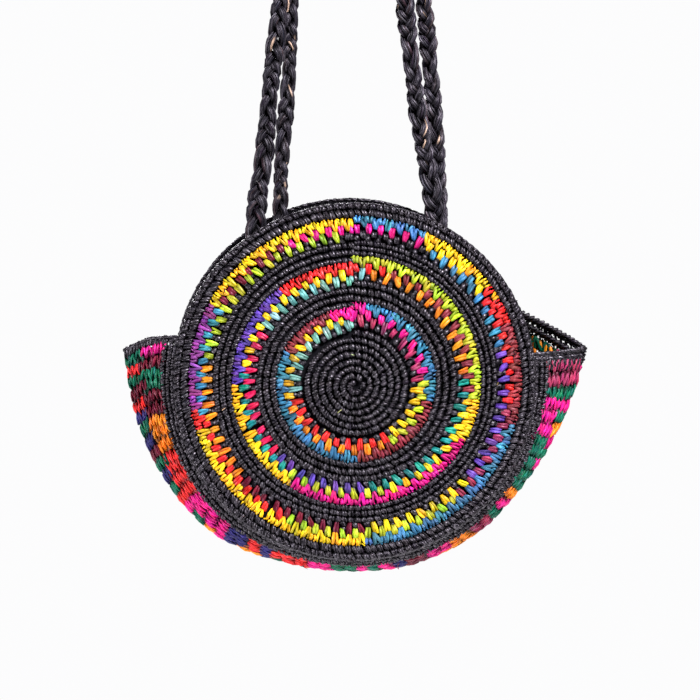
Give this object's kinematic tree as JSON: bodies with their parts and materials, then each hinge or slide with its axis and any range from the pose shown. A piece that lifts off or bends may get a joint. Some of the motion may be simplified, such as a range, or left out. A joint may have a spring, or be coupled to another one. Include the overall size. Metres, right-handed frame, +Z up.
{
  "type": "round raffia shoulder bag",
  "caption": "Round crocheted raffia bag with domed panels, a folded gusset that stands out as ears, an open mouth and long plaited handles, shown hanging.",
  "frame": {"origin": "the point of a hook or peg that both handles hang from, under the middle of their arches", "axes": "+Z up along the hanging bag, the front panel faces -Y, +X is to the right of a viewer in front"},
  "size_m": [0.3378, 0.0952, 0.627],
  "materials": {
    "panel_raffia": "satin raffia, black with dyed rings",
    "rim_raffia": "satin raffia, black",
    "gusset_raffia": "satin raffia, mixed dyes",
    "handle_raffia": "satin raffia, black"
  },
  "bodies": {
    "root": {"front_panel": "panel_raffia", "back_panel": "panel_raffia", "front_rim": "rim_raffia", "back_rim": "rim_raffia", "gusset": "gusset_raffia", "handle_front": "handle_raffia", "handle_back": "handle_raffia"}
  },
  "joints": []
}
